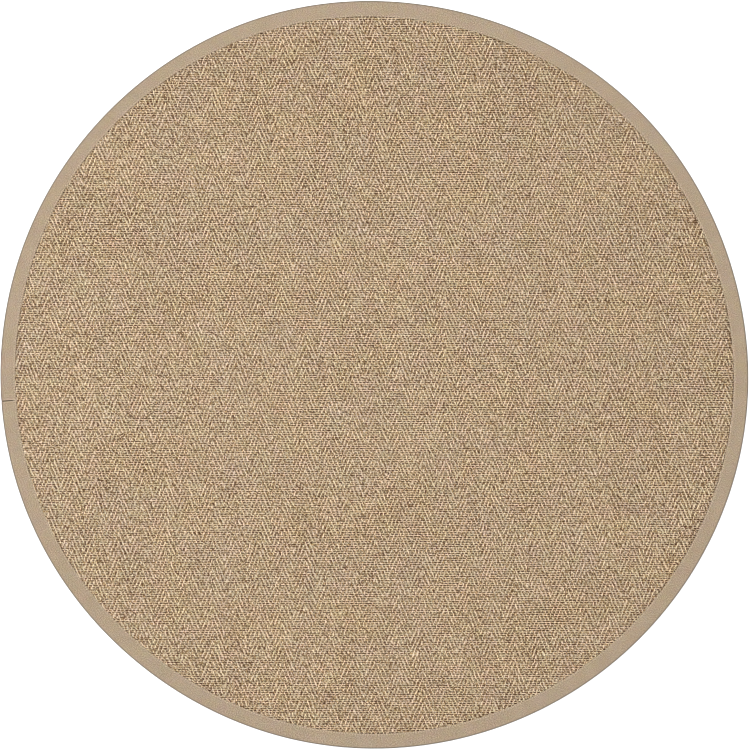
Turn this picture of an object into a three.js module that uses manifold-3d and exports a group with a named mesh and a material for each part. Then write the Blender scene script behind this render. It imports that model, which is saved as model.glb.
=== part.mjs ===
// A round sisal rug: a disc of flat-woven sisal cloth, its cut edge bound in cotton tape.
// Millimetres, +Z up. The rug lies flat on z = 0 and is centred on the Z axis.

import * as THREE from "three";
import { mergeVertices } from "three/addons/utils/BufferGeometryUtils.js";
import Module from "manifold-3d";

// Driving dimensions
const RUG_DIAMETER = 2000; // over the tape
const CLOTH_THICKNESS = 6; // woven sisal and its backing, where it lies free
const CLOTH_PRESSED = 5.4; // top of the cloth where the sewn tape presses it down
const TAPE_THICKNESS = 1.1; // one layer of cotton tape
const TAPE_WIDTH = 40.2; // mean width on top, from the outer edge to the hem
const TAPE_WIDTH_UNDER = 38; // on the underside
const HEM_WIDTH = 9; // of the tape's edge, turned under itself
const HEM_EXTRA = 0.5; // what the turned hem adds to one pressed layer
const HEM_SLOPE = 5; // over which the hem's second layer fades out
const HEM_ROUND = 0.8; // roundness of the hem's fold, at the inner edge
const EDGE_ROUND = 3.2; // roundness of the folded outer edge
const GAP = 0.3; // between the cloth and the tape

// The seam, where the two ends of the tape meet
const SEAM_ANGLE = THREE.MathUtils.degToRad(184.1); // from +X, anticlockwise
const SLIT_WIDTH = 2.1;
const SLIT_LENGTH = 31; // from the outer edge inwards, the rest is sewn shut

// How far the hand-cut outline strays outwards from a true circle: lobes round the rim
const OUTLINE_LOBES = [
  { count: 2, height: 1.5, peakDegrees: 139 },
  { count: 4, height: 0.3, peakDegrees: 22 },
  { count: 5, height: 0.95, peakDegrees: 46 },
  { count: 6, height: 0.45, peakDegrees: 44 },
  { count: 7, height: 0.55, peakDegrees: 49 },
];

// How far the hand-sewn hem strays inwards, which makes the tape wider there
const HEM_LOBES = [
  { count: 1, height: 0.8, peakDegrees: 319 },
  { count: 2, height: 1.8, peakDegrees: 61 },
  { count: 3, height: 1.35, peakDegrees: 80 },
  { count: 5, height: 0.45, peakDegrees: 20 },
];
const HEM_STRAY_INSIDE = 17; // the hem's stray holds up to this far beyond the hem
const HEM_STRAY_ENDS = 30; // and has died out this far beyond it, well before the folded edge

const RIM_STEPS = 120; // facets round the rim
const CORNER_STEPS = 3; // facets in each rounded corner of a section
const MERGE_DISTANCE = 0.001; // under which two vertices are one

const RIM = RUG_DIAMETER / 2;
const TAPE_TOP = CLOTH_PRESSED + GAP + TAPE_THICKNESS;
const HEM_TOP = CLOTH_THICKNESS + GAP + TAPE_THICKNESS + HEM_EXTRA;

const tapeMaterial = new THREE.MeshStandardMaterial({
  name: "cotton_tape",
  color: 0xb6a28a,
  roughness: 0.9,
  metalness: 0,
});

const sisalMaterial = new THREE.MeshStandardMaterial({
  name: "sisal_weave",
  color: 0xb29a7d,
  roughness: 0.85,
  metalness: 0,
});

// Sum of the lobes at an angle round the rug
function strayOf(lobes, angle) {
  let stray = 0;
  for (const { count, height, peakDegrees } of lobes) {
    const peak = THREE.MathUtils.degToRad(peakDegrees);
    stray += height * Math.cos(count * (angle - peak));
  }
  return stray;
}

// Where a point of the true round shape lies on the hand-made one. Cloth and tape share this,
// so they keep their distance.
function strayedRadius(radius, angle) {
  const beyondHem = radius - (RIM - TAPE_WIDTH);
  const hemShare = 1 - THREE.MathUtils.smoothstep(beyondHem, HEM_STRAY_INSIDE, HEM_STRAY_ENDS);
  const nearHem = beyondHem > -TAPE_WIDTH ? hemShare : 0;
  const wider = strayOf(HEM_LOBES, angle) * nearHem;
  return radius * (1 + strayOf(OUTLINE_LOBES, angle) / RIM) - wider;
}

// Points of a section whose corners are { r, z, round }, each rounded over `round` mm.
// An open section keeps its first and last corner sharp, on the axis.
function sectionPoints(corners, closed) {
  const shape = new THREE.Path();
  const at = (index) => {
    const corner = corners[(index + corners.length) % corners.length];
    return new THREE.Vector2(corner.r, corner.z);
  };
  const first = closed ? 0 : 1;
  const last = closed ? corners.length - 1 : corners.length - 2;
  if (!closed) {
    shape.moveTo(corners[0].r, corners[0].z);
  }
  for (let index = first; index <= last; index += 1) {
    const corner = at(index);
    const round = corners[index].round;
    const before = at(index - 1).sub(corner).setLength(round).add(corner);
    const after = at(index + 1).sub(corner).setLength(round).add(corner);
    if (closed && index === 0) {
      shape.moveTo(before.x, before.y);
    } else {
      shape.lineTo(before.x, before.y);
    }
    if (round > 0) {
      shape.quadraticCurveTo(corner.x, corner.y, after.x, after.y);
    }
  }
  if (closed) {
    shape.closePath();
  } else {
    shape.lineTo(at(-1).x, at(-1).y);
  }
  return shape.getPoints(CORNER_STEPS);
}

// A section turned about the Z axis, then fitted to the hand-made outline and hem
function turned(corners, closed) {
  const lathe = new THREE.LatheGeometry(sectionPoints(corners, closed), RIM_STEPS);
  lathe.rotateX(Math.PI / 2);
  lathe.deleteAttribute("normal");
  lathe.deleteAttribute("uv");
  const geometry = mergeVertices(lathe, MERGE_DISTANCE);
  const place = geometry.getAttribute("position");
  for (let index = 0; index < place.count; index += 1) {
    const radius = Math.hypot(place.getX(index), place.getY(index));
    const angle = Math.atan2(place.getY(index), place.getX(index));
    const strayed = strayedRadius(radius, angle);
    place.setX(index, strayed * Math.cos(angle));
    place.setY(index, strayed * Math.sin(angle));
  }
  return geometry;
}

// The cloth: flat, thinner and stepped up at the rim, where the tape grips it
function panelCorners() {
  const edge = RIM - TAPE_THICKNESS - GAP;
  const stepIn = RIM - TAPE_WIDTH_UNDER - 2 * GAP;
  const under = TAPE_THICKNESS + GAP;
  const press = RIM - TAPE_WIDTH + HEM_WIDTH;
  return [
    { r: 0, z: 0 },
    { r: stepIn - under, z: 0, round: 0 },
    { r: stepIn, z: under, round: 0 },
    { r: edge, z: under, round: EDGE_ROUND - TAPE_THICKNESS },
    { r: edge, z: CLOTH_PRESSED, round: EDGE_ROUND - TAPE_THICKNESS },
    { r: press + HEM_SLOPE, z: CLOTH_PRESSED, round: 0 },
    { r: press, z: CLOTH_THICKNESS, round: 0 },
    { r: 0, z: CLOTH_THICKNESS },
  ];
}

// The tape: flat under the rug, folded round the cut edge, with a thicker hem on top
function tapeCorners() {
  const inner = RIM - TAPE_WIDTH;
  const innerUnder = RIM - TAPE_WIDTH_UNDER;
  const hem = inner + HEM_WIDTH;
  const inside = RIM - TAPE_THICKNESS;
  const insideRound = EDGE_ROUND - TAPE_THICKNESS;
  return [
    { r: innerUnder, z: 0, round: 0 },
    { r: RIM, z: 0, round: EDGE_ROUND },
    { r: RIM, z: TAPE_TOP, round: EDGE_ROUND },
    { r: hem + HEM_SLOPE, z: TAPE_TOP, round: 0 },
    { r: hem, z: HEM_TOP, round: 0 },
    { r: inner, z: HEM_TOP, round: HEM_ROUND },
    { r: inner, z: CLOTH_THICKNESS + GAP, round: 0 },
    { r: hem, z: CLOTH_THICKNESS + GAP, round: 0 },
    { r: hem + HEM_SLOPE, z: CLOTH_PRESSED + GAP, round: 0 },
    { r: inside, z: CLOTH_PRESSED + GAP, round: insideRound },
    { r: inside, z: TAPE_THICKNESS, round: insideRound },
    { r: innerUnder, z: TAPE_THICKNESS, round: 0 },
  ];
}

const wasm = await Module();
wasm.setup();

// A closed geometry as a solid that can be cut
function toSolid(geometry) {
  const mesh = new wasm.Mesh({
    numProp: 3,
    vertProperties: new Float32Array(geometry.getAttribute("position").array),
    triVerts: new Uint32Array(geometry.getIndex().array),
  });
  return new wasm.Manifold(mesh);
}

// A cut solid back as a geometry
function toGeometry(solid) {
  const { vertProperties, triVerts } = solid.getMesh();
  const geometry = new THREE.BufferGeometry();
  geometry.setAttribute("position", new THREE.BufferAttribute(vertProperties, 3));
  geometry.setIndex(new THREE.BufferAttribute(triVerts, 1));
  geometry.computeVertexNormals();
  return geometry;
}

// The slit at the seam: a thin upright blade, radial, that reaches in from the outer edge
function slitBlade() {
  const reach = 2 * SLIT_LENGTH;
  const height = 4 * HEM_TOP;
  const box = new THREE.BoxGeometry(reach, SLIT_WIDTH, height);
  box.deleteAttribute("normal");
  box.deleteAttribute("uv");
  const blade = mergeVertices(box);
  blade.translate(RIM, 0, 0);
  blade.rotateZ(SEAM_ANGLE);
  return blade;
}

const panelGeometry = turned(panelCorners(), false);
panelGeometry.computeVertexNormals();
const tapeRing = toSolid(turned(tapeCorners(), true));
const tapeGeometry = toGeometry(tapeRing.subtract(toSolid(slitBlade())));

const panel = new THREE.Mesh(panelGeometry, sisalMaterial);
panel.name = "sisal_panel";

const tape = new THREE.Mesh(tapeGeometry, tapeMaterial);
tape.name = "border_tape";

// The lobes leave the outline a little off centre, so both pieces move back over the axis
const middle = new THREE.Box3().setFromObject(tape).getCenter(new THREE.Vector3());
panel.position.set(-middle.x, -middle.y, 0);
tape.position.set(-middle.x, -middle.y, 0);

const rug = new THREE.Group();
rug.name = "round_sisal_rug";
rug.add(panel);
rug.add(tape);

export default rug;
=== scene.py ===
# %% [markdown]
# # A round sisal rug, bound in cotton tape
# This notebook dresses the CAD model of a flat round floor rug, two metres across. The real rug is a
# disc cut from sisal cloth, and a band of cotton tape is sewn round its cut edge so that it can't
# fray. The CAD model already holds the outline and the thickness. What it lacks is everything that
# makes a rug look woven: the yarns, the folds and stitches of the tape, and the colours.
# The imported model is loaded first, because every new piece is fitted to it.

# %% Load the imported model
import math

import bmesh
import bpy
import numpy as np
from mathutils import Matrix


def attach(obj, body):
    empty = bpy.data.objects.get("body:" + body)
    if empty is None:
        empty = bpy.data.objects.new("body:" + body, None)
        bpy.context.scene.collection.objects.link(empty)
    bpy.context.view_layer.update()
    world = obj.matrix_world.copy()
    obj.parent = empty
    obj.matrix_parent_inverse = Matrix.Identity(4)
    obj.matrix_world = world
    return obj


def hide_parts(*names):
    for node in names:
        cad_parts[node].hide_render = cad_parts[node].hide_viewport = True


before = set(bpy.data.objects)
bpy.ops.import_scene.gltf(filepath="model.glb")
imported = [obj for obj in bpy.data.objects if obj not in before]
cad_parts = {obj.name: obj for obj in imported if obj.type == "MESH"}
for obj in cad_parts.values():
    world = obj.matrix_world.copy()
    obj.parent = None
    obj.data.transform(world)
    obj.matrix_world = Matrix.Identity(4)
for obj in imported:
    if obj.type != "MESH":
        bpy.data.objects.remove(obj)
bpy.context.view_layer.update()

print("nodes:", sorted(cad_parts))

# %% [markdown]
# ## Sizes
# Blender counts in metres, but a rug maker thinks in millimetres. So every size of the rug is in
# millimetres, and one factor turns it into metres when a mesh is written. The main sizes of the
# cloth and the tape are those of the CAD model, and the weave is counted in ends, the yarns that run
# up the rug, and picks, the yarns that run across it.

# %% Sizes of the cloth, the tape and the weave
MM = 0.001
RIM = 1000.0  # radius over the tape
CLOTH_PRESSED = 5.4  # top of the cloth where the sewn tape presses it down
TAPE_THICKNESS = 1.1
TAPE_UNDER = 38.0  # width of the tape on the underside
GAP = 0.3  # between the cloth and the tape
HEM_INNER = 959.8  # mean radius of the hem, the tape's inner edge
HEM_STRAY_INSIDE = 17.0  # the hem's stray holds up to this far beyond the hem
HEM_STRAY_ENDS = 30.0  # and has died out this far beyond it
SEAM_ANGLE = math.radians(184.1)  # where the two ends of the tape meet
SLIT_WIDTH = 2.1
END_PITCH = 2.6  # from one warp yarn to the next
PICK_PITCH = 6.1  # from one weft yarn to the next
FIRST_END_X = 3.0  # the end that the pattern is counted from
FIRST_GAP_Y = 4.5  # the gap between two picks that the pattern is counted from
CHEVRON_ENDS = 12  # from one turn of the zigzag to the next

# %% [markdown]
# ## The hand-made outline
# Nobody cuts a perfect circle from a two-metre cloth. The edge bulges by a millimetre or two, and
# the sewn hem wanders a little on its own. A few waves round the rim describe both. The same waves
# are in the CAD model, so the dressed rug follows its outline.

# %% Bend a true circle into the hand-made one
OUTLINE_LOBES = ((2, 1.5, 139), (4, 0.3, 22), (5, 0.95, 46), (6, 0.45, 44), (7, 0.55, 49))
HEM_LOBES = ((1, 0.8, 319), (2, 1.8, 61), (3, 1.35, 80), (5, 0.45, 20))


def stray_of(lobes, angle):
    """Sum of the waves round the rim, each with a count, a height and the degrees of its peak."""
    waves = [height * np.cos(count * (angle - math.radians(peak))) for count, height, peak in lobes]
    return sum(waves)


def smooth_share(value, low, high):
    """Rises smoothly from 0 at low to 1 at high."""
    share = np.clip((value - low) / (high - low), 0.0, 1.0)
    return share * share * (3.0 - 2.0 * share)


def strayed_radius(radius, angle):
    """Where a point of the true circle lies on the hand-made one."""
    beyond_hem = radius - HEM_INNER
    near_hem = 1.0 - smooth_share(beyond_hem, HEM_STRAY_INSIDE, HEM_STRAY_ENDS)
    near_hem = np.where(beyond_hem > HEM_INNER - RIM, near_hem, 0.0)
    wider = stray_of(HEM_LOBES, angle) * near_hem
    return radius * (1.0 + stray_of(OUTLINE_LOBES, angle) / RIM) - wider


OUTLINE_POINTS = 720
all_round = np.linspace(0.0, 2.0 * math.pi, OUTLINE_POINTS, endpoint=False)
outline = strayed_radius(np.full(OUTLINE_POINTS, RIM), all_round)
outline_xy = np.stack([outline * np.cos(all_round), outline * np.sin(all_round)], axis=1)
MIDDLE = (outline_xy.max(axis=0) + outline_xy.min(axis=0)) / 2.0


def hand_made(radius, angle, height):
    """Points of the hand-made shape, in mm, centred as the CAD model is."""
    strayed = strayed_radius(radius, angle)
    x = strayed * np.cos(angle) - MIDDLE[0]
    y = strayed * np.sin(angle) - MIDDLE[1]
    return np.stack([x, y, height], axis=1)


print("outline radius, mm:", round(outline.min(), 2), "to", round(outline.max(), 2))

# %% [markdown]
# ## Camera, light and floor
# The rug lies on a plain white floor and the camera looks straight down on its middle, as for a
# catalogue. A long lens from almost five metres up keeps the circle round. The light comes from
# everywhere, a white world, so no shadow has a hard edge. One large soft panel to the upper left
# gives the yarns a bright and a dark side.

# %% Camera, world, softbox and floor
FIELD_WIDTH = 2005.1  # what the picture shows, at the height of the weave
WEAVE_TOP = 6.0
CAMERA_PLACE = (1.8, -0.7, 4700.0)  # a little off the rug's middle
SENSOR = 36.0
WORLD_STRENGTH = 1.22
SOFTBOX_SIZE = 4.0  # the softbox and the floor are given in metres
SOFTBOX_PLACE = (-2.6, 2.2, 7.2)
SOFTBOX_WATTS = 355.0
FLOOR_SIZE = 40.0
FLOOR_DROP = 0.05  # mm by which the floor lies lower than the rug's underside

scene = bpy.context.scene
scene.view_settings.view_transform = "Standard"
scene.cycles.pixel_filter_type = "BOX"  # a crisp lens, which keeps the yarns apart

camera_data = bpy.data.cameras.new("camera")
camera_data.sensor_width = SENSOR
camera_data.lens = SENSOR * (CAMERA_PLACE[2] - WEAVE_TOP) / FIELD_WIDTH
camera = bpy.data.objects.new("camera", camera_data)
camera.location = [place * MM for place in CAMERA_PLACE]
scene.collection.objects.link(camera)
scene.camera = camera

world = bpy.data.worlds.new("studio")
scene.world = world
world.use_nodes = True
background = world.node_tree.nodes["Background"]
background.inputs["Color"].default_value = (1.0, 1.0, 1.0, 1.0)
background.inputs["Strength"].default_value = WORLD_STRENGTH

panel_light = bpy.data.lights.new("softbox", "AREA")
panel_light.shape = "DISK"
panel_light.size = SOFTBOX_SIZE
panel_light.energy = SOFTBOX_WATTS
softbox = bpy.data.objects.new("softbox", panel_light)
softbox.location = SOFTBOX_PLACE
softbox.rotation_euler = (-softbox.location).to_track_quat("-Z", "Y").to_euler()
scene.collection.objects.link(softbox)


def piece_from(shape, name):
    """An object at the origin, made from a bmesh."""
    mesh = bpy.data.meshes.new(name)
    shape.to_mesh(mesh)
    shape.free()
    piece = bpy.data.objects.new(name, mesh)
    scene.collection.objects.link(piece)
    return piece


floor_shape = bmesh.new()
bmesh.ops.create_grid(floor_shape, x_segments=1, y_segments=1, size=FLOOR_SIZE)
bmesh.ops.translate(floor_shape, verts=floor_shape.verts, vec=(0.0, 0.0, -FLOOR_DROP * MM))
studio_floor = piece_from(floor_shape, "studio_floor")
print("lens, mm:", round(camera_data.lens, 1))

# %% [markdown]
# ## Writing a finish as sums
# A material in Blender is a net of nodes, and a long net is hard to read. The two small classes here
# let a finish be written as ordinary sums: a Wire is the output of a node, and adding or multiplying
# Wires adds the Math nodes for it. Every other node comes from the one method called node.

# %% A wire, and a finish that is made of wires
PATCH_CONTRAST = 3.2  # how sharply one cast of a dye gives way to the other


def linear(red, green, blue):
    """A screen colour, 0 to 255, as the light values that shaders count in."""
    shares = [value / 255.0 for value in (red, green, blue)]
    return (*[s / 12.92 if s <= 0.04045 else ((s + 0.055) / 1.055) ** 2.4 for s in shares], 1.0)


class Wire:
    """The output of a node, which Python's operators can work with."""

    def __init__(self, finish, socket):
        self.finish = finish
        self.socket = socket

    def maths(self, operation, *values, clamp=False):
        settings = {"operation": operation, "use_clamp": clamp}
        return self.finish.node("ShaderNodeMath", settings, dict(enumerate(values)))

    def __add__(self, other):
        return self.maths("ADD", self, other)

    def __radd__(self, other):
        return self.maths("ADD", other, self)

    def __sub__(self, other):
        return self.maths("SUBTRACT", self, other)

    def __rsub__(self, other):
        return self.maths("SUBTRACT", other, self)

    def __mul__(self, other):
        return self.maths("MULTIPLY", self, other)

    def __rmul__(self, other):
        return self.maths("MULTIPLY", other, self)

    def __truediv__(self, other):
        return self.maths("DIVIDE", self, other)

    def sine(self):
        return self.maths("SINE", self)

    def absolute(self):
        return self.maths("ABSOLUTE", self)

    def wrapped(self, period):
        """The distance to the nearest whole number of periods, with its sign."""
        return self.maths("WRAP", self, period / 2.0, -period / 2.0)

    def clamped(self):
        return self.maths("ADD", self, 0.0, clamp=True)

    def steepened(self, factor):
        """Noise drawn apart from its middle, towards 0 and 1."""
        return ((self - 0.5) * factor + 0.5).clamped()


class Finish:
    """A material in the making."""

    def __init__(self, name, roughness, specular):
        self.material = bpy.data.materials.new(name)
        self.material.use_nodes = True
        self.tree = self.material.node_tree
        self.shader = self.tree.nodes["Principled BSDF"]
        self.shader.inputs["Roughness"].default_value = roughness
        self.shader.inputs["Specular IOR Level"].default_value = specular

    def node(self, kind, settings=None, values=None, output=0):
        """Adds a node, sets it up, fills its sockets and gives one of its outputs."""
        node = self.tree.nodes.new(kind)
        for name, setting in (settings or {}).items():
            if name == "stops":
                self.set_stops(node.color_ramp, setting)
            else:
                setattr(node, name, setting)
        for name, value in (values or {}).items():
            self.plug(value, self.socket_of(node.inputs, name))
        return Wire(self, self.socket_of(node.outputs, output))

    @staticmethod
    def socket_of(sockets, name):
        if isinstance(name, int):
            return sockets[name]
        return next(socket for socket in sockets if name in (socket.identifier, socket.name))

    @staticmethod
    def set_stops(ramp, stops):
        while len(ramp.elements) < len(stops):
            ramp.elements.new(1.0)
        for element, (position, colour) in zip(ramp.elements, stops):
            element.position = position
            element.color = colour

    def plug(self, value, socket):
        if isinstance(value, Wire):
            self.tree.links.new(value.socket, socket)
        else:
            socket.default_value = value

    def attribute(self, name):
        return self.node("ShaderNodeAttribute", {"attribute_name": name}, output="Fac")

    def millimetres(self, source):
        """The three numbers of a place in millimetres: on the object, or on a UV map by name."""
        if source == "Object":
            place = self.node("ShaderNodeTexCoord", output="Object")
        else:
            place = self.node("ShaderNodeUVMap", {"uv_map": source})
        values = {0: place, "Scale": 1.0 / MM}
        scaled = self.node("ShaderNodeVectorMath", {"operation": "SCALE"}, values)
        kind = "ShaderNodeSeparateXYZ"
        return [self.node(kind, values={0: scaled}, output=axis) for axis in range(3)]

    def noise(self, x, y, z=0.0, detail=2.0, roughness=0.5):
        """Soft noise from 0 to 1, with one blob to each unit of the given numbers."""
        place = self.node("ShaderNodeCombineXYZ", values={0: x, 1: y, 2: z})
        values = {"Vector": place, "Scale": 1.0, "Detail": detail, "Roughness": roughness}
        return self.node("ShaderNodeTexNoise", None, values, output="Fac")

    def tones(self, position, stops):
        return self.node("ShaderNodeValToRGB", {"stops": stops}, {"Fac": position})

    def mixed(self, share, first, second, blend="MIX"):
        settings = {"data_type": "RGBA", "blend_type": blend}
        values = {"Factor_Float": share, "A_Color": first, "B_Color": second}
        return self.node("ShaderNodeMix", settings, values, output="Result_Color")

    def mottled(self, base, x, y, patches):
        """Dyes a colour in soft patches, each with a size in mm and the two casts it wavers between."""
        for size, first, second in patches:
            cloud = self.noise(x / size, y / size, size, detail=3.0, roughness=0.6)
            cast = self.mixed(cloud.steepened(PATCH_CONTRAST), linear(*first), linear(*second))
            base = self.mixed(1.0, base, cast, blend="MULTIPLY")
        return base

    def colour(self, value):
        self.plug(value, self.shader.inputs["Base Color"])

    def bump(self, height, depth):
        """Height from 0 to 1, and how many millimetres that is."""
        values = {"Strength": 1.0, "Distance": depth * MM, "Height": height}
        self.plug(self.node("ShaderNodeBump", None, values), self.shader.inputs["Normal"])


FLOOR_CLOUD = 900.0
FLOOR_WHITES = ((0.92, 0.92, 0.92, 1.0), (0.95, 0.95, 0.95, 1.0))
floor_finish = Finish("studio_white", roughness=0.9, specular=0.0)
floor_x, floor_y, _ = floor_finish.millimetres("Object")
cloudy = floor_finish.noise(floor_x / FLOOR_CLOUD, floor_y / FLOOR_CLOUD)
floor_finish.colour(floor_finish.mixed(cloudy, *FLOOR_WHITES))
studio_floor.data.materials.append(floor_finish.material)

# %% [markdown]
# ## The sisal cloth, seen as three layers
# Sisal cloth is woven flat on a loom. Stiff picks of sisal lie side by side across the rug, and the
# ends pass over two of them and under two. One could paint that on a disc, but paint stays flat when
# the light rakes over it. So the cloth is built as it is woven: a ground that carries the backing,
# with the shade between the yarns painted on it as a dark colour, the picks as long half-round yarns
# on it, and on top the floats, which are the stretches where an end comes up and crosses two picks.
# The ground comes first. Its section is a few corners, rounded with the bevel operator and spun
# round the middle. It is flat on the floor, and under the tape it is as thick as the pressed cloth.

# %% Helpers that spin a section into a round piece
RIM_STEPS = 360
FOLD_SEGMENTS = 3  # in each rounded corner of a section


def section_from(corners):
    """A bmesh with one face in the XZ plane, for corners of radius, height and rounding in mm."""
    shape = bmesh.new()
    points = [shape.verts.new((radius, 0.0, height)) for radius, height, _ in corners]
    shape.faces.new(points)
    for rounding in sorted({rounding for _, _, rounding in corners if rounding}):
        chosen = [point for point, corner in zip(points, corners) if corner[2] == rounding]
        bmesh.ops.bevel(
            shape,
            geom=chosen,
            offset=rounding,
            segments=FOLD_SEGMENTS,
            profile=0.5,
            affect="VERTICES",
            material=-1,
        )
    return shape


def points_of(mesh):
    points = np.empty(len(mesh.vertices) * 3)
    mesh.vertices.foreach_get("co", points)
    return points.reshape(-1, 3)


def write_points(mesh, points):
    mesh.vertices.foreach_set("co", (points * MM).ravel())
    mesh.update()


def polar(points):
    """Radius, angle and height of points."""
    x, y, height = points.T
    return np.hypot(x, y), np.arctan2(y, x), height


# %% The ground cloth
GROUND_TOP = 3.0
CLOTH_EDGE = RIM - TAPE_THICKNESS - GAP
CLOTH_ROUND = 1.85
OVER_TAPE = TAPE_THICKNESS + GAP  # height of the cloth over the tape's lower half
STEP_STARTS = 959.4  # radius at which the underside rises to clear the tape
STEP_ENDS = 961.6
RISE_STARTS = HEM_INNER + 1.9  # where the top rises to the pressed cloth, under the hem
RISE_ENDS = HEM_INNER + 6.4
GROUND_CORNERS = (
    (0.0, 0.0, 0.0),
    (STEP_STARTS, 0.0, 0.0),
    (STEP_ENDS, OVER_TAPE, 0.0),
    (CLOTH_EDGE, OVER_TAPE, CLOTH_ROUND),
    (CLOTH_EDGE, CLOTH_PRESSED, CLOTH_ROUND),
    (RISE_ENDS, CLOTH_PRESSED, 0.0),
    (RISE_STARTS, GROUND_TOP, 0.0),
    (0.0, GROUND_TOP, 0.0),
)

ground_shape = section_from(GROUND_CORNERS)
bmesh.ops.delete(ground_shape, geom=list(ground_shape.faces), context="FACES_ONLY")
on_axis = [edge for edge in ground_shape.edges if all(abs(v.co.x) < 1e-6 for v in edge.verts)]
bmesh.ops.delete(ground_shape, geom=on_axis, context="EDGES")
bmesh.ops.spin(
    ground_shape,
    geom=list(ground_shape.verts) + list(ground_shape.edges),
    cent=(0.0, 0.0, 0.0),
    axis=(0.0, 0.0, 1.0),
    angle=2.0 * math.pi,
    steps=RIM_STEPS,
    use_merge=True,
)
bmesh.ops.remove_doubles(ground_shape, verts=ground_shape.verts, dist=1e-4)
bmesh.ops.recalc_face_normals(ground_shape, faces=ground_shape.faces)
ground_cloth = piece_from(ground_shape, "ground_cloth")
write_points(ground_cloth.data, hand_made(*polar(points_of(ground_cloth.data))))
print("ground cloth faces:", len(ground_cloth.data.polygons))

# %% [markdown]
# ## How the yarns wander
# On a real loom no two yarns lie quite parallel. The whole cloth drifts by a millimetre over a
# forearm's length, and each yarn wavers a little on its own. Sums of a few sine waves with seeded
# random phases give that unevenness, the same on every run.

# %% Slow and quick wandering
rng = np.random.default_rng(71)


def slow_drift(height, shortest, longest, count=7):
    """A function of x and y that wanders between about plus and minus height."""
    turns = rng.uniform(0.0, 2.0 * math.pi, count)
    waves = 2.0 * math.pi / rng.uniform(shortest, longest, count)
    phases = rng.uniform(0.0, 2.0 * math.pi, count)
    scale = height / math.sqrt(count / 2.0)

    def drift(x, y):
        total = 0.0
        for turn, wave, phase in zip(turns, waves, phases):
            total = total + np.sin(wave * (x * math.cos(turn) + y * math.sin(turn)) + phase)
        return scale * total

    return drift


def yarn_wobble(yarns, height, shortest, longest, count=3):
    """A function that gives each yarn its own wavering along its length."""
    waves = 2.0 * math.pi / rng.uniform(shortest, longest, (yarns, count))
    phases = rng.uniform(0.0, 2.0 * math.pi, (yarns, count))
    scale = height / math.sqrt(count / 2.0)

    def wobble(yarn, along):
        inside = waves[yarn] * np.expand_dims(along, -1) + phases[yarn]
        return scale * np.sin(inside).sum(axis=-1)

    return wobble


drift_x = slow_drift(height=0.8, shortest=260.0, longest=620.0)
drift_y = slow_drift(height=0.8, shortest=260.0, longest=620.0)
patch_shade = slow_drift(height=1.0, shortest=60.0, longest=400.0)
patch_tint = slow_drift(height=1.0, shortest=50.0, longest=300.0)

# %% [markdown]
# ## Joining hundreds of copies
# A rug has hundreds of picks and tens of thousands of floats. Each copy as an object of its own would
# bring Blender to its knees. So one small template is made with bmesh, its points are repeated in an
# array, and the array is written as one joined mesh. A few numbers go with it, which the finish
# reads: the shade and the tint of each copy and, on a float, how near a point is to its tips. A map
# of the copies, seen from above, is there for the day when the colours are baked: the few faces that
# nobody sees are pressed into a narrow strip of it.

# %% A joined mesh of copies
HIDDEN_STRIP = 0.985  # of the map's width: the rest is for faces that look down
LOOKS_DOWN = -0.05  # height of a normal under which its face counts as one of them


def joined_copies(name, template, points, values, area):
    """points is an array of copy, vertex and coordinate in mm, and area is the map's box."""
    count, size = points.shape[:2]
    faces = [[vertex.index for vertex in face.verts] for face in template.faces]
    downward = np.array([face.normal.z < LOOKS_DOWN for face in template.faces])
    lengths = np.array([len(face) for face in faces])
    corners = np.array([index for face in faces for index in face])
    mesh = bpy.data.meshes.new(name)
    mesh.vertices.add(count * size)
    mesh.vertices.foreach_set("co", (points * MM).ravel())
    mesh.loops.add(count * len(corners))
    loops = (corners[None, :] + size * np.arange(count)[:, None]).ravel()
    mesh.loops.foreach_set("vertex_index", loops)
    mesh.polygons.add(count * len(faces))
    starts = np.concatenate([[0], np.cumsum(lengths)[:-1]])
    loop_starts = starts[None, :] + len(corners) * np.arange(count)[:, None]
    mesh.polygons.foreach_set("loop_start", loop_starts.ravel())
    mesh.update(calc_edges=True)
    mesh.shade_smooth()
    for attribute, numbers in values.items():
        written = np.broadcast_to(numbers.reshape(count, -1), (count, size)).ravel()
        layer = mesh.attributes.new(attribute, "FLOAT", "POINT")
        layer.data.foreach_set("value", written.astype(np.float32))
    left, right, low, high = area
    flat = points.reshape(-1, 3)[loops]
    across = (flat[:, 0] - left) / (right - left)
    hidden = np.tile(np.repeat(downward, lengths), count)
    across = np.where(hidden, HIDDEN_STRIP + (1.0 - HIDDEN_STRIP) * across, HIDDEN_STRIP * across)
    seen_map = np.stack([across, (flat[:, 1] - low) / (high - low)], axis=1)
    mesh.uv_layers.new(name="OFBake").data.foreach_set("uv", seen_map.astype(np.float32).ravel())
    piece = bpy.data.objects.new(name, mesh)
    scene.collection.objects.link(piece)
    triangles = int(count * (lengths - 2).sum())
    print(f"{name}: {count} copies, {triangles} triangles")
    return piece


# %% [markdown]
# ## The picks
# A pick of sisal is a hard, barely twisted yarn, three millimetres thick. Only its upper half is
# ever seen. The template is a five-sided bar with a flat underside, cut into short lengths so that it
# can follow the wander of the cloth. Its ends slip under the hem of the tape.

# %% The weft picks
PICK_WIDTH = 3.35
PICK_LOW = 2.2
PICK_TOP = 4.75
PICK_LENGTHS = 60
PICK_REACH = 967.5  # radius at which a pick ends, under the hem
MOST_PICK = int(PICK_REACH / PICK_PITCH) + 1
PICK_CLEAR = 6.0  # of that radius, which the outermost pick keeps
PICK_SPREAD = 0.015  # of the thickness, from pick to pick
BAR_SECTION = ((0.5, 0.0), (0.36, 0.62), (0.0, 1.0), (-0.36, 0.62), (-0.5, 0.0))  # half round


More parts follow.
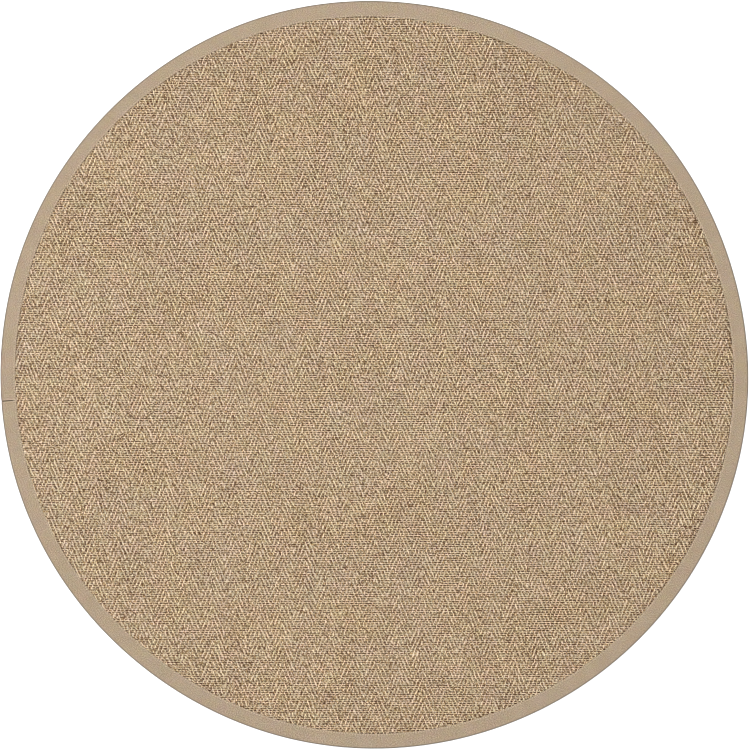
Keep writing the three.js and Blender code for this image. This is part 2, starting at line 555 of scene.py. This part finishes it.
def pick_template():
    """A bar along X from -1 to 1, in lengths, with a half-round section one unit wide and high."""
    shape = bmesh.new()
    points = [shape.verts.new((-1.0, across, height)) for across, height in BAR_SECTION]
    start = shape.faces.new(points)
    end = start
    for _ in range(PICK_LENGTHS):
        grown = bmesh.ops.extrude_face_region(shape, geom=[end])
        moved = [item for item in grown["geom"] if isinstance(item, bmesh.types.BMVert)]
        bmesh.ops.translate(shape, verts=moved, vec=(2.0 / PICK_LENGTHS, 0.0, 0.0))
        new_end = next(item for item in grown["geom"] if isinstance(item, bmesh.types.BMFace))
        if end is not start:
            bmesh.ops.delete(shape, geom=[end], context="FACES_ONLY")
        end = new_end
    bmesh.ops.recalc_face_normals(shape, faces=shape.faces)
    shape.verts.index_update()
    shape.normal_update()
    return shape


def pick_middle(pick):
    """The height on the rug, in mm, of a pick's middle."""
    return FIRST_GAP_Y - PICK_PITCH / 2.0 + pick * PICK_PITCH


picks = np.arange(-MOST_PICK, MOST_PICK + 1)
picks = picks[np.abs(pick_middle(picks)) < PICK_REACH - PICK_CLEAR]
pick_wobble = yarn_wobble(2 * MOST_PICK + 2, height=0.14, shortest=80.0, longest=220.0)
pick_slubs = yarn_wobble(2 * MOST_PICK + 2, height=0.03, shortest=70.0, longest=160.0)


def pick_line(pick, x):
    """Where a pick's middle runs, at x."""
    y = pick_middle(pick)
    return y + drift_y(x, y) + pick_wobble(pick + MOST_PICK, x)


template = pick_template()
bar_points = np.array([vertex.co for vertex in template.verts])
half_lengths = np.sqrt(PICK_REACH**2 - pick_middle(picks) ** 2)
bar_x = bar_points[None, :, 0] * half_lengths[:, None]
thick = 1.0 + rng.normal(0.0, PICK_SPREAD, (len(picks), 1))
thick = thick + pick_slubs(picks[:, None] + MOST_PICK, bar_x)
bar_y = pick_line(picks[:, None], bar_x) + bar_points[None, :, 1] * PICK_WIDTH * thick
bar_z = PICK_LOW + bar_points[None, :, 2] * (PICK_TOP - PICK_LOW) * thick
weft_points = np.stack([bar_x, bar_y, bar_z], axis=2)
weft_values = {"shade": rng.normal(0.0, 1.0, len(picks)), "tint": rng.uniform(0.0, 1.0, len(picks))}
weft_picks = joined_copies("weft_picks", template, weft_points, weft_values, (-RIM, RIM, -RIM, RIM))

# %% [markdown]
# ## The floats
# In this twill each end passes over two picks and under the next two. From one end to its neighbour
# the crossing moves up by one pick, and after twelve ends it moves down again: that is the zigzag of
# the herringbone. A float is the stretch where the end lies on top, fourteen millimetres long. It
# dives between the picks at both ends. The template is a coarse ball drawn out into a grain of rice,
# because there are more than forty thousand of them.

# %% The warp floats
FLOAT_LENGTH = 14.4
FLOAT_WIDTH = 3.35
FLOAT_LOW = 3.4  # where its tips dive
FLOAT_SIDE = 4.9  # where its sides rest on the picks
FLOAT_TOP = 6.1
FULL_LENGTH = 0.62  # share of a float that is as wide and as high as its middle
FLOAT_REACH = 5.0  # past the hem, underneath it
LENGTH_SPREAD = 0.12  # from float to float, as a share, and so are the next three
WIDTH_SPREAD = 0.22
WIDTH_LIMITS = (-0.6, 0.4)
HEIGHT_SPREAD = 0.12
SHIFT_X = 0.45  # mm by which a float strays from its place
SHIFT_Y = 0.75
LEAN = 0.06
STRIPS = 5
STRIP_MARGIN = (4.0, 8.0)  # of a strip's map, across and along


def float_template():
    """A grain along Y from -1 to 1, one unit wide. Its tips are at height 0, its back at 1."""
    shape = bmesh.new()
    bmesh.ops.create_uvsphere(shape, u_segments=3, v_segments=3, radius=1.0)
    highest = max(vertex.co.x for vertex in shape.verts)
    widest = max(vertex.co.y for vertex in shape.verts)
    side = (FLOAT_SIDE - FLOAT_LOW) / (FLOAT_TOP - FLOAT_LOW)
    for vertex in shape.verts:
        x, y, z = vertex.co
        if abs(z) > 0.9:
            vertex.co = (0.0, z, 0.0)
        else:
            vertex.co = (y / widest / 2.0, z * FULL_LENGTH * 2.0, 1.0 if x > highest - 0.01 else side)
    bmesh.ops.recalc_face_normals(shape, faces=shape.faces)
    shape.verts.index_update()
    shape.normal_update()
    return shape


most_end = int(RIM / END_PITCH) + 1
ends, gaps = np.meshgrid(np.arange(-most_end, most_end + 1), np.arange(-MOST_PICK, MOST_PICK + 1))
ends, gaps = ends.ravel(), gaps.ravel()
zigzag = np.abs((ends + CHEVRON_ENDS) % (2 * CHEVRON_ENDS) - CHEVRON_ENDS)
up = (zigzag + gaps) % 4 == 2
ends, gaps = ends[up], gaps[up]
float_x = FIRST_END_X + ends * END_PITCH
float_y = FIRST_GAP_Y + gaps * PICK_PITCH
end_wobble = yarn_wobble(2 * most_end + 2, height=0.16, shortest=70.0, longest=240.0)
middle_x = float_x + drift_x(float_x, float_y) + end_wobble(ends + most_end, float_y)
middle_y = (pick_line(gaps, middle_x) + pick_line(np.minimum(gaps + 1, MOST_PICK), middle_x)) / 2.0
radius, angle = np.hypot(middle_x, middle_y), np.arctan2(middle_y, middle_x)
kept = radius < strayed_radius(np.full(len(radius), HEM_INNER), angle) + FLOAT_REACH
yarns, middle_x, middle_y = ends[kept] + most_end, middle_x[kept], middle_y[kept]
count = len(yarns)

end_shade = rng.normal(0.0, 1.0, 2 * most_end + 2)
end_tint = rng.uniform(-1.0, 1.0, 2 * most_end + 2)
own_shade = rng.normal(0.0, 1.0, count)
float_shade = 0.16 * own_shade + 0.08 * end_shade[yarns] + 0.02 * patch_shade(middle_x, middle_y)
own_tint = rng.normal(0.0, 1.0, count)
float_tint = 0.5 + 0.2 * own_tint + 0.15 * end_tint[yarns] + 0.1 * patch_tint(middle_x, middle_y)
lengths = FLOAT_LENGTH * (1.0 + rng.normal(0.0, LENGTH_SPREAD, count))
widths = FLOAT_WIDTH * (1.0 + np.clip(rng.normal(0.0, WIDTH_SPREAD, count), *WIDTH_LIMITS))
heights = (FLOAT_TOP - FLOAT_LOW) * (1.0 - np.abs(rng.normal(0.0, HEIGHT_SPREAD, count)))
middle_x = middle_x + rng.normal(0.0, SHIFT_X, count)
middle_y = middle_y + rng.normal(0.0, SHIFT_Y, count)
lean = rng.normal(0.0, LEAN, count)

template = float_template()
grain = np.array([vertex.co for vertex in template.verts])
grain_y = grain[None, :, 1] * lengths[:, None] / 2.0
grain_x = grain[None, :, 0] * widths[:, None] + grain_y * lean[:, None]
grain_z = FLOAT_LOW + grain[None, :, 2] * heights[:, None]
float_points = np.stack([middle_x[:, None] + grain_x, middle_y[:, None] + grain_y, grain_z], axis=2)

strip_width = 2.0 * PICK_REACH / STRIPS
strip_of = np.clip(((middle_x + PICK_REACH) / strip_width).astype(int), 0, STRIPS - 1)
warp_floats = []
for strip in range(STRIPS):
    chosen = strip_of == strip
    left = -PICK_REACH + strip * strip_width
    beside, beyond = STRIP_MARGIN
    area = (left - beside, left + strip_width + beside, -PICK_REACH - beyond, PICK_REACH + beyond)
    to_tip = np.broadcast_to(grain[:, 1], (chosen.sum(), len(grain)))
    values = {"shade": float_shade[chosen], "tint": float_tint[chosen], "reach": to_tip}
    name = f"warp_floats_{strip + 1}"
    warp_floats.append(joined_copies(name, template, float_points[chosen], values, area))

# %% [markdown]
# ## The sisal finishes
# Sisal is a hard leaf fibre. It shines a little, and its colour runs from straw through tan to brown
# within one yarn. All yarns share one ladder of tones. Where a yarn stands on the ladder depends on
# its own shade, on streaks that follow its fibres and on its depth: deep between the yarns, and where
# a float dips at its tips, it is painted darker, as painted shade. Towards the rim, and most at the
# top and the bottom, all tones are a little darker, which is painted shade too.

# %% The tones and the yarn finish
TONES = (
    (0.0, linear(80, 41, 4)),
    (0.2, linear(134, 98, 52)),
    (0.4, linear(169, 142, 100)),
    (0.6, linear(200, 176, 142)),
    (0.8, linear(223, 202, 171)),
    (1.0, linear(241, 227, 201)),
)
SISAL_PATCHES = (  # rosy and olive, straw and grey, and the same over a whole forearm's length
    (55.0, (255, 250, 255), (253, 255, 250)),
    (75.0, (255, 253, 250), (253, 253, 255)),
    (150.0, (255, 253, 249), (251, 252, 255)),
)
OWN_NOISE = 57.0  # how far apart the noises of two yarns are taken
STREAKS_ACROSS = 1.9  # streaks to a millimetre, across the yarn, along it and down into it
STREAKS_ALONG = 0.2
STREAKS_DOWN = 1.3
STREAK_CONTRAST = 0.5
STREAK_RELIEF = 0.35
SLUB_SLANT = 1.3  # thick places lie askew on a yarn, because its fibres are twisted
STAINED_BELOW = 0.42  # share of the slubs' noise under which a yarn is stained
STAIN_STRENGTH = 2.0
HOLLOW_SIZE = 3.2
HOLLOW_SLANT = 0.7
HOLLOW_NOISE = 31.0
HOLLOW_CONTRAST = 4.0
PAINTED_RIM_SHADE = 0.02  # painted shade, a share of the tones, from the rug's middle to its rim
OWN_DYE = linear(255, 252, 240)
OWN_DYE_SHARE = 0.06


def sisal_finish(name, along_y, *, bright, spread, heights, shaded, painted_dip_shade, slub_size, slub_contrast):
    """A finish for yarns along Y or X, with painted shade between two heights, in mm, and where they dip.
    """
    finish = Finish(name, roughness=0.62, specular=0.25)
    x, y, z = finish.millimetres("Object")
    across, along = (x, y) if along_y else (y, x)
    shade = finish.attribute("shade")
    tint = finish.attribute("tint")
    own = tint * OWN_NOISE
    streaks = finish.noise(
        across * STREAKS_ACROSS, along * STREAKS_ALONG, own + z * STREAKS_DOWN, detail=3.0, roughness=0.6
    )
    slubs = finish.noise((along + across * SLUB_SLANT) / slub_size, own, detail=0.0)
    low, top = heights
    depth = ((z - low) / (top - low)).clamped()
    reach = finish.attribute("reach")
    # Painted shade: the tones fall a little towards the rim, most towards the top and the bottom.
    painted_rim_shade = PAINTED_RIM_SHADE - PAINTED_RIM_SHADE * (x * x + 2.0 * y * y) / RIM**2
    own_tone = bright + spread * shade + STREAK_CONTRAST * (streaks - 0.5) + slub_contrast * (slubs - 0.5)
    hollows = finish.noise((along - across * HOLLOW_SLANT) / HOLLOW_SIZE, own + HOLLOW_NOISE, detail=0.0)
    # A patchy noise that makes the painted shade between the yarns uneven.
    patchy_depth_shade = hollows.steepened(HOLLOW_CONTRAST)
    stained = (STAINED_BELOW - slubs).clamped()
    # Painted shade deep between the yarns and where a float dips to its tips, then real stains where the
    # slubs' noise is low.
    painted_shade_and_stains = shaded * (1.0 - depth) * patchy_depth_shade + painted_dip_shade * reach * reach
    painted_shade_and_stains = painted_shade_and_stains + STAIN_STRENGTH * slub_contrast * stained
    tone = own_tone + painted_rim_shade - painted_shade_and_stains
    base = finish.tones(tone.clamped(), TONES)
    own_dye = finish.mixed(tint.clamped() * OWN_DYE_SHARE, base, OWN_DYE, blend="MULTIPLY")
    finish.colour(finish.mottled(own_dye, x, y, SISAL_PATCHES))
    finish.bump(streaks, STREAK_RELIEF)
    return finish.material


# Both yarns are painted with shade deep down between them, and a float also at its tips.
warp_finish = sisal_finish(
    "sisal_warp",
    along_y=True,
    bright=0.97,
    spread=0.22,
    heights=(FLOAT_LOW, FLOAT_TOP),
    shaded=0.5,
    painted_dip_shade=1.0,
    slub_size=2.4,
    slub_contrast=2.9,
)
weft_finish = sisal_finish(
    "sisal_weft",
    along_y=False,
    bright=0.78,
    spread=0.01,
    heights=(PICK_LOW + 0.4, PICK_TOP),
    shaded=1.2,
    painted_dip_shade=0.0,
    slub_size=1.6,
    slub_contrast=1.9,
)
for piece in warp_floats:
    piece.data.materials.append(warp_finish)
weft_picks.data.materials.append(weft_finish)

# %% The ground's finish: painted shade above, pale backing below
# Painted shade: the ground is dark where it shows between the picks, with the paler crossing yarn
# glimpsed in places, and near black under the tape.
GROUND_SHADE_TONES = ((0.61, linear(52, 24, 0)), (0.66, linear(190, 156, 108)))
UNDER_TAPE_SHADE = linear(30, 14, 4)
BACKING_TONES = (linear(206, 196, 176), linear(176, 164, 142))
FIBRE_WIDTH = 2.7
FIBRE_LENGTH = 4.0
MESH_WAVE = 2.1  # radians of the backing's mesh to a millimetre
BACKING_TOP = 1.6
UNDER_TAPE_FROM = 4.2

ground_finish = Finish("sisal_ground", roughness=0.8, specular=0.1)
x, y, z = ground_finish.millimetres("Object")
fibre = ground_finish.noise(x / FIBRE_WIDTH, y / FIBRE_LENGTH, z, detail=0.0)
# Painted shade of the holes between the picks.
ground_shade = ground_finish.tones(fibre, GROUND_SHADE_TONES)
mesh_weave = (x * MESH_WAVE).sine() * (y * MESH_WAVE).sine() * 0.5 + 0.5
backing = ground_finish.mixed(mesh_weave, *BACKING_TONES)
is_backing = ((BACKING_TOP - z) * 4.0).clamped()
under_tape = ((z - UNDER_TAPE_FROM) * 2.0).clamped()
# Painted shade under the tape.
darker = ground_finish.mixed(under_tape, ground_shade, UNDER_TAPE_SHADE)
ground_finish.colour(ground_finish.mixed(is_backing, darker, backing))
ground_finish.bump(mesh_weave + fibre, 0.3)
ground_cloth.data.materials.append(ground_finish.material)

# %% [markdown]
# ## The tape
# The band is a cotton tape as wide as a hand. It is folded lengthwise over the raw edge of the cloth,
# its long edge is turned under as a hem, and one row of stitches holds it down. Its two ends meet at
# the left in a seam that is left open near the rim. The section is drawn once, with its folds rounded
# by the bevel operator, and spun almost all the way round. Where the ends meet the steps crowd
# together, so that the folded ends can be shaped.

# %% The section of the tape
STITCH_ROW = HEM_INNER + 2.9  # radius of the row of stitches, which lies in a shallow groove
GROOVE_HALF = 1.3
GROOVE_FLOOR = 7.5
HEM_TOP = 7.9
HEM_BOTTOM = 6.3  # over the free cloth
HEM_ROUND = 0.5
HEM_OUTER = HEM_INNER + 9.0  # where the layer that is turned under ends
HEM_FADED = HEM_INNER + 14.0  # and where the tape lies flat again
TAPE_BOTTOM = CLOTH_PRESSED + GAP
TAPE_TOP = TAPE_BOTTOM + TAPE_THICKNESS
TAPE_INSIDE = RIM - TAPE_THICKNESS
UNDER_INNER = RIM - TAPE_UNDER
FOLD_ROUND = 3.2
INSIDE_ROUND = FOLD_ROUND - TAPE_THICKNESS
TAPE_CORNERS = (
    (UNDER_INNER, 0.0, 0.0),
    (RIM, 0.0, FOLD_ROUND),
    (RIM, TAPE_TOP, FOLD_ROUND),
    (HEM_FADED, TAPE_TOP, 0.0),
    (HEM_OUTER, HEM_TOP, 0.0),
    (STITCH_ROW + GROOVE_HALF, HEM_TOP, 0.0),
    (STITCH_ROW, GROOVE_FLOOR, 0.0),
    (STITCH_ROW - GROOVE_HALF, HEM_TOP, 0.0),
    (HEM_INNER, HEM_TOP, HEM_ROUND),
    (HEM_INNER, HEM_BOTTOM, 0.0),
    (HEM_OUTER, HEM_BOTTOM, 0.0),
    (HEM_FADED, TAPE_BOTTOM, 0.0),
    (TAPE_INSIDE, TAPE_BOTTOM, INSIDE_ROUND),
    (TAPE_INSIDE, TAPE_THICKNESS, INSIDE_ROUND),
    (UNDER_INNER, TAPE_THICKNESS, 0.0),
)
TAPE_STEPS = 900
TAPE_TURN = math.radians(359.0)  # just short of all round, so that the two ends stay apart
LONG_SIDE = 10.0  # a side of the section longer than this has to bend
LONG_CUTS = 5

tape_shape = section_from(TAPE_CORNERS)
long_edges = [edge for edge in tape_shape.edges if edge.calc_length() > LONG_SIDE]
bmesh.ops.subdivide_edges(tape_shape, edges=long_edges, cuts=LONG_CUTS)
section_loop = [loop.vert.co.copy() for loop in tape_shape.faces[:][0].loops]
section_rz = np.array([(co.x, co.z) for co in section_loop])
step_lengths = np.hypot(*np.diff(np.vstack([section_rz, section_rz[:1]]), axis=0).T)
section_across = np.concatenate([[0.0], np.cumsum(step_lengths)[:-1]])
SECTION_ROUND = step_lengths.sum()
section_r, section_z = section_rz.T
FOLD_ACROSS = section_across[section_r > RIM - 1e-3].mean()  # where it is folded over the edge
hem_points = (section_r < HEM_INNER + 0.9) & (section_z > HEM_TOP - 0.3)
HEM_ACROSS = section_across[hem_points].mean()  # where it is folded at the hem's edge
groove = (np.abs(section_r - STITCH_ROW) < 0.1) & (section_z > GROOVE_FLOOR - 0.5)
STITCH_ACROSS = section_across[groove].mean()
bmesh.ops.delete(tape_shape, geom=list(tape_shape.faces), context="FACES_ONLY")
bmesh.ops.spin(
    tape_shape,
    geom=list(tape_shape.verts) + list(tape_shape.edges),
    cent=(0.0, 0.0, 0.0),
    axis=(0.0, 0.0, 1.0),
    angle=TAPE_TURN,
    steps=TAPE_STEPS,
)
open_edges = [edge for edge in tape_shape.edges if edge.is_boundary]
ends_filled = bmesh.ops.holes_fill(tape_shape, edges=open_edges, sides=0)["faces"]
bmesh.ops.triangulate(tape_shape, faces=ends_filled, ngon_method="BEAUTY")
bmesh.ops.recalc_face_normals(tape_shape, faces=tape_shape.faces)
tape_cloth = piece_from(tape_shape, "tape_cloth")
print("tape section points:", len(section_rz), "faces:", len(tape_cloth.data.polygons))

# %% Lay the tape round the rug
LAP = 2.0 * math.pi * RIM  # length of the tape along the rim
STITCHES = 854
STITCH_PITCH = LAP / STITCHES
CROWD_FROM_SEAM = 60.0  # mm of tape at each end whose steps are crowded
CROWD_STEPS = 45
CROWDING = 1.6
SEWN_UP_TO = 965.2  # radius at which the slit starts to open
OPEN_FROM = 968.7  # and from which it has its full width
SEWN_HALF = 0.04  # half the crack of the sewn part of the seam
SKIN_ABOVE = 6.4  # height over which a point lies on top of the rug
END_DIP = 0.75  # how far the two ends round down, and over which length
END_ROUND = 1.6
LAP_RISE = 0.35  # what the end that is folded double adds, and where that stops
LAP_WIDTH = (6.4, 7.4)
MITRE_RISE = 0.32  # the same for the corner that is folded in at a slant
MITRE_RADIUS = 961.0
MITRE_EDGE = (-0.5, 0.9)
MITRE_LENGTH = (26.0, 34.0)
PUCKER_RISE = 0.12  # soft slanting waves, which fade out at the stitches and at the rim
PUCKER_SLANT = 0.9
PUCKER_MIDDLE = 980.0
PUCKER_STARTS = (966.0, 975.0)
PUCKER_ENDS = (990.0, 998.0)

tape_points = points_of(tape_cloth.data)
radius, angle, height = polar(tape_points)
row = np.rint((angle % (2.0 * math.pi)) / TAPE_TURN * TAPE_STEPS).astype(int)
near = CROWD_FROM_SEAM * (np.arange(CROWD_STEPS) / CROWD_STEPS) ** CROWDING
far = np.linspace(CROWD_FROM_SEAM, LAP - CROWD_FROM_SEAM, TAPE_STEPS + 1 - 2 * CROWD_STEPS)
row_along = np.concatenate([near, far, LAP - near[::-1]])
along = row_along[row]
to_end = np.minimum(along, LAP - along)
slit_half = SLIT_WIDTH / 2.0 * smooth_share(radius, SEWN_UP_TO, OPEN_FROM) + SEWN_HALF
rounded = 1.0 - np.clip(to_end / END_ROUND, 0.0, 1.0)
dip_of_end = END_DIP * (1.0 - np.sqrt(1.0 - rounded**2))
lap_layer = LAP_RISE * (1.0 - smooth_share(LAP - along, *LAP_WIDTH))
mitre = MITRE_RISE * smooth_share(radius - MITRE_RADIUS - along, *MITRE_EDGE)
mitre = mitre * (1.0 - smooth_share(along, *MITRE_LENGTH))
pucker_wave = yarn_wobble(3, height=1.0, shortest=24.0, longest=70.0, count=5)
bias = along + (radius - PUCKER_MIDDLE) * PUCKER_SLANT
pucker = PUCKER_RISE * pucker_wave(np.zeros(len(along), int), bias)
pucker = pucker * smooth_share(radius, *PUCKER_STARTS) * (1.0 - smooth_share(radius, *PUCKER_ENDS))
lift = np.where(height > SKIN_ABOVE, lap_layer + mitre + pucker - dip_of_end, 0.0)
turned = SEAM_ANGLE + along / RIM * (1.0 - 2.0 * slit_half / LAP) + slit_half / RIM
write_points(tape_cloth.data, hand_made(radius, turned, height + lift))
for polygon in tape_cloth.data.polygons:
    polygon.use_smooth = len(polygon.vertices) == 4

# %% The tape's own maps
MAP_ROWS = 8  # the long tape is cut in as many stretches, laid one over the other
ROW_MARGIN = 0.02
SIDE_MARGIN = 0.004
SECTION_SPARE = 1.02  # the section's round, and a little more for the face that closes it

from_section = (radius[:, None] - section_r) ** 2 + (height[:, None] - section_z) ** 2
across = section_across[np.argmin(from_section, axis=1)]
mesh = tape_cloth.data
loop_vertex = np.empty(len(mesh.loops), int)
mesh.loops.foreach_get("vertex_index", loop_vertex)
totals = np.empty(len(mesh.polygons), int)
mesh.polygons.foreach_get("loop_total", totals)
face_of_loop = np.repeat(np.arange(len(totals)), totals)
loop_across, loop_row = across[loop_vertex].copy(), row[loop_vertex].astype(float)
lowest_row = np.full(len(totals), 1e9)
np.minimum.at(lowest_row, face_of_loop, loop_row)
widest = np.zeros(len(totals))
np.maximum.at(widest, face_of_loop, loop_across)
wraps = (widest[face_of_loop] > SECTION_ROUND * 0.75) & (loop_across < SECTION_ROUND * 0.25)
loop_across = np.where(wraps, loop_across + SECTION_ROUND, loop_across)
cloth_uv = np.stack([row_along[loop_row.astype(int)], loop_across], axis=1) * MM
mesh.uv_layers.new(name="cloth").data.foreach_set("uv", cloth_uv.astype(np.float32).ravel())
steps_per_row = TAPE_STEPS / MAP_ROWS
map_row = np.clip(lowest_row[face_of_loop] // steps_per_row, 0, MAP_ROWS - 1)
map_u = (loop_row - map_row * steps_per_row) / steps_per_row
share_across = loop_across / (SECTION_ROUND * SECTION_SPARE)
map_v = (map_row + ROW_MARGIN + (1.0 - 2.0 * ROW_MARGIN) * share_across) / MAP_ROWS
bake_uv = np.stack([SIDE_MARGIN + (1.0 - 2.0 * SIDE_MARGIN) * map_u, map_v], axis=1)
mesh.uv_layers.new(name="OFBake").data.foreach_set("uv", bake_uv.astype(np.float32).ravel())

# %% [markdown]
# ## The stitches
# One row of stitches runs round the hem, three millimetres from its inner edge. The thread is almost
# the colour of the tape, so it shows only as a faint dotted line where it pulls the tape down, and
# shade is painted on the tape at each needle hole.

# %% The hem stitches
STITCH_LENGTH = 5.2
STITCH_THICK = 1.25
STITCH_HEIGHT = 7.58
STITCH_BLUNTNESS = 0.6  # a power of the place along a stitch: 1 is a ball drawn out, less is blunter
STITCH_TAPER = 0.45
STRAY_ALONG = 0.12
STRAY_OUT = 0.15

stitch_shape = bmesh.new()
bmesh.ops.create_uvsphere(stitch_shape, u_segments=6, v_segments=4, radius=1.0)
bmesh.ops.recalc_face_normals(stitch_shape, faces=stitch_shape.faces)
stitch_shape.verts.index_update()
stitch_shape.normal_update()
bead = np.array([vertex.co for vertex in stitch_shape.verts])
stitch_along = (np.arange(STITCHES) + 0.5) * STITCH_PITCH + rng.normal(0.0, STRAY_ALONG, STITCHES)
turn = SEAM_ANGLE + stitch_along / RIM
out = rng.normal(0.0, STRAY_OUT, STITCHES)
blunt = np.sign(bead[:, 2]) * np.abs(bead[:, 2]) ** STITCH_BLUNTNESS
stitch_turn = turn[:, None] + blunt * STITCH_LENGTH / 2.0 / STITCH_ROW
stitch_radius = STITCH_ROW + out[:, None] + bead[:, 0] * STITCH_THICK / 2.0
arch = 1.0 - STITCH_TAPER * bead[:, 2] ** 2
stitch_z = np.tile(STITCH_HEIGHT + bead[:, 1] * STITCH_THICK / 2.0 * arch, (STITCHES, 1))
placed = hand_made(stitch_radius.ravel(), stitch_turn.ravel(), stitch_z.ravel())
placed = placed.reshape(STITCHES, -1, 3)
stitch_values = {"shade": rng.normal(0.0, 1.0, STITCHES), "tint": rng.uniform(0.0, 1.0, STITCHES)}
hem_stitches = joined_copies("hem_stitches", stitch_shape, placed, stitch_values, (-RIM, RIM, -RIM, RIM))

# %% [markdown]
# ## The cotton finishes
# The tape is plain cotton with a slightly uneven dye: in soft patches it leans to pink or to green.
# Its weave is finer than half a millimetre, so it is a bump and a small change of tone that follows
# the tape round the rug.

# %% Cotton tape
COTTON_TONES = ((0.0, linear(98, 80, 60)), (0.3, linear(127, 112, 92)), (1.0, linear(188, 172, 149)))
COTTON_PATCHES = (  # rosy and olive, straw and grey, and finer flecks of both
    (42.0, (255, 250, 255), (253, 255, 250)),
    (75.0, (255, 253, 249), (252, 253, 255)),
    (16.0, (255, 252, 247), (250, 251, 255)),
    (14.0, (255, 251, 255), (252, 255, 252)),
)
FOLD_GREY_TONE = linear(106, 98, 88)
FOLD_GREY_FROM = 3.2  # mm to each side of the fold, and over which length the greying fades
FOLD_GREY_FADE = 4.0
FINE_WAVE = 2.0 * math.pi / 0.9  # two threads of the fine weave to 0.9 mm
UNEVEN_LENGTH = 3.4
UNEVEN_WIDTH = 1.8
DYE_SIZE = 45.0

tape_finish = Finish("cotton_tape", roughness=0.85, specular=0.15)
along_wire, across_wire, _ = tape_finish.millimetres("cloth")
x, y, _ = tape_finish.millimetres("Object")
fine_weave = (along_wire * FINE_WAVE).sine() * (across_wire * FINE_WAVE).sine() * 0.5 + 0.5
uneven = tape_finish.noise(
    along_wire / UNEVEN_LENGTH, across_wire / UNEVEN_WIDTH, detail=3.0, roughness=0.6
)
dye = tape_finish.noise(x / DYE_SIZE, y / DYE_SIZE, 1.0, detail=2.0)
from_fold = (across_wire - FOLD_ACROSS).absolute()
from_hem = (across_wire - HEM_ACROSS).absolute()
from_stitches = (across_wire - STITCH_ACROSS).absolute()
# Painted highlight on the hem's folded edge, and fainter painted light a few millimetres beside it.
painted_hem_highlight = (1.7 - from_hem).clamped()
painted_hem_light = (1.6 - from_hem * 0.4).clamped()
from_seam = along_wire.wrapped(LAP).absolute()
# Painted highlight on the two ends of the tape, beside the open seam.
painted_seam_highlight = (1.6 - (from_seam - 2.0).absolute()).clamped()
# Painted shade in the needle holes of the stitch row.
from_hole = along_wire.wrapped(STITCH_PITCH)
painted_hole_shade = (1.3 - from_hole * from_hole * 0.9 - from_stitches * from_stitches * 1.1).clamped()
tone = 0.5 + 0.2 * (fine_weave - 0.5) + 1.9 * (uneven - 0.5) + 0.15 * (dye - 0.5)
tone = tone + 0.16 * painted_hem_highlight + 0.04 * painted_hem_light + 0.16 * painted_seam_highlight - 0.37 * painted_hole_shade
cotton = tape_finish.tones(tone, COTTON_TONES)
dyed = tape_finish.mottled(cotton, x, y, COTTON_PATCHES)
# The tape is greyer and darker along its fold over the rim.
fold_greying = (1.0 - (from_fold - FOLD_GREY_FROM) / FOLD_GREY_FADE).clamped()
tape_finish.colour(tape_finish.mixed(fold_greying, dyed, FOLD_GREY_TONE))
tape_finish.bump(fine_weave + uneven * 0.6, 0.12)
tape_cloth.data.materials.append(tape_finish.material)

# %% Cotton thread
THREAD_TONES = ((0.2, linear(160, 141, 117)), (0.8, linear(206, 187, 162)))
thread_finish = Finish("cotton_thread", roughness=0.7, specular=0.2)
x, y, z = thread_finish.millimetres("Object")
strand = thread_finish.noise(x * 1.5, y * 1.5, z)
shade = thread_finish.attribute("shade")
thread_finish.colour(thread_finish.tones(strand + shade * 0.2, THREAD_TONES))
thread_finish.bump(strand, 0.1)
hem_stitches.data.materials.append(thread_finish.material)

# %% [markdown]
# ## Handing the pieces over
# Every piece is told which body it moves with. The rug has no joints, so that is always the root.
# The new pieces stand for the two CAD solids, which are hidden.

# %% Bodies, and the CAD solids hidden
for piece in (ground_cloth, weft_picks, *warp_floats, tape_cloth, hem_stitches):
    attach(piece, "root")
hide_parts("sisal_panel")
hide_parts("border_tape")
